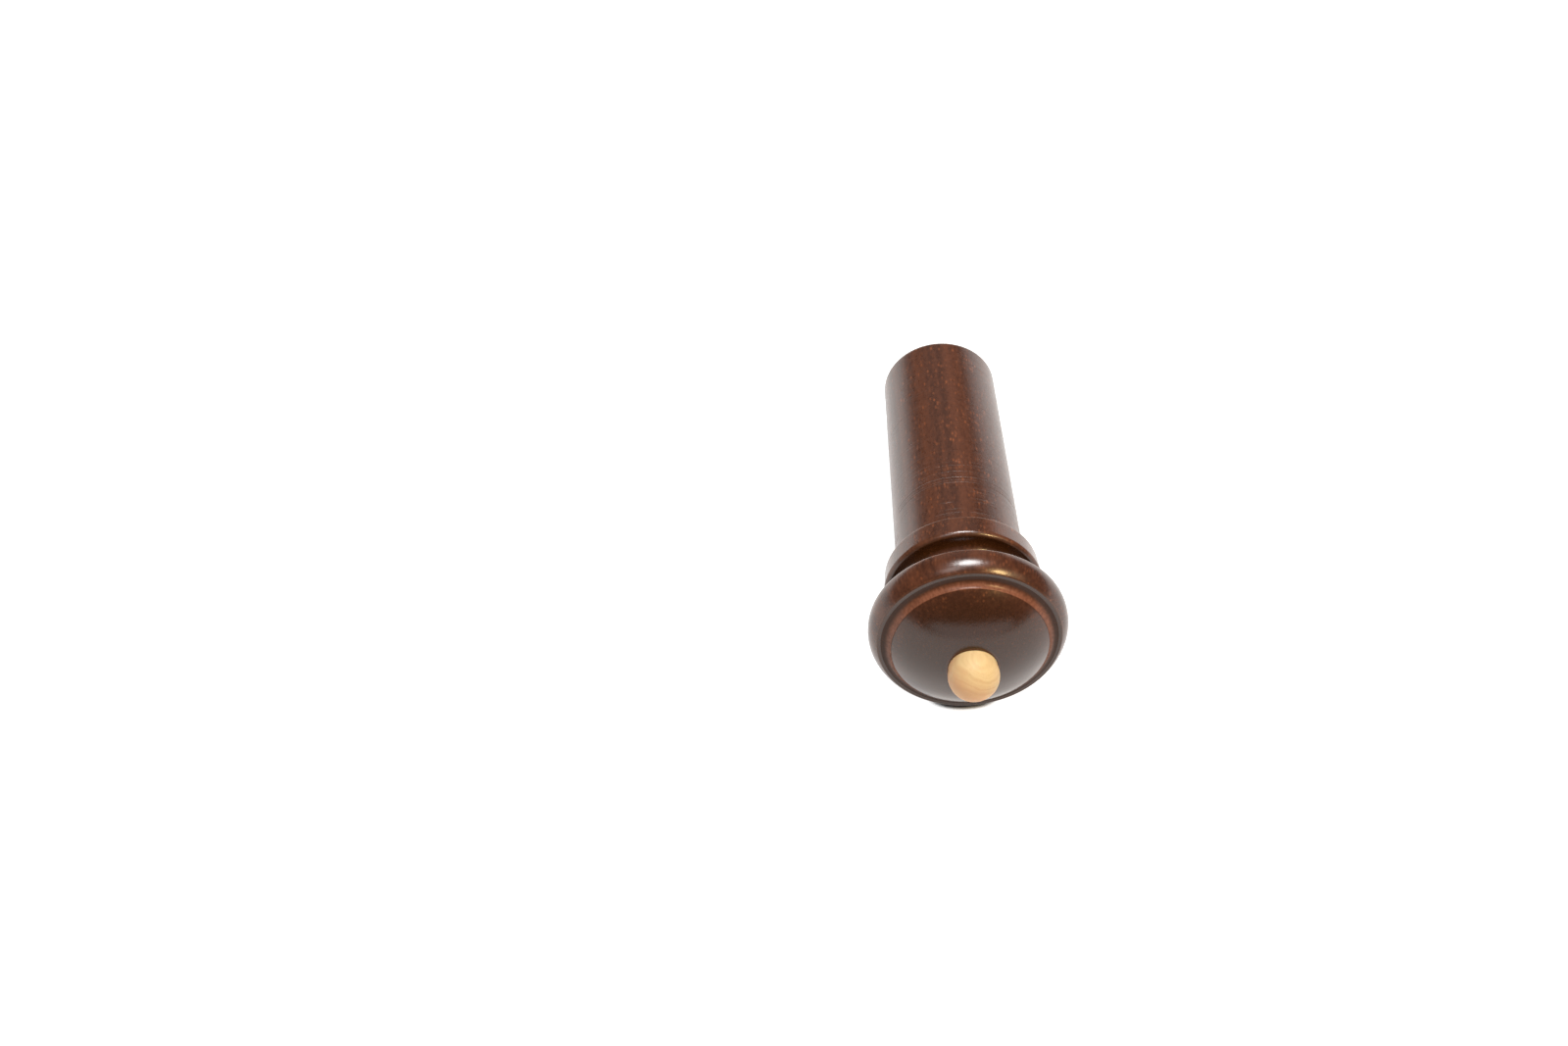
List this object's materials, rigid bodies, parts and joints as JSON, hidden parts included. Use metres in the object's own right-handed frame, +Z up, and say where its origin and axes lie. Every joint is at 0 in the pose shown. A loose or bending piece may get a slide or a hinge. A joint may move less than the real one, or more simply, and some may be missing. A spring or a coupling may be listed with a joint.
{
  "type": "string instrument end button",
  "caption": "Turned wooden end button with a tapered shaft, collar, tailgut groove, beaded and domed head, and a pale round-ended pin in its face.",
  "frame": {"origin": "centre of the collar's back face, the face that seats against the instrument's ribs", "axes": "+Y along the turning axis towards the shaft's end, -Y out of the domed face, +Z up, +X to the right seen from the front"},
  "size_m": [0.013, 0.0314, 0.013],
  "materials": {
    "rosewood": "oiled and polished dark brown rosewood with fine lengthwise grain and small orange-brown pores",
    "boxwood": "smooth pale cream boxwood, close-grained, softly polished"
  },
  "bodies": {
    "root": {"button_body": "rosewood", "pin": "boxwood"}
  },
  "joints": []
}
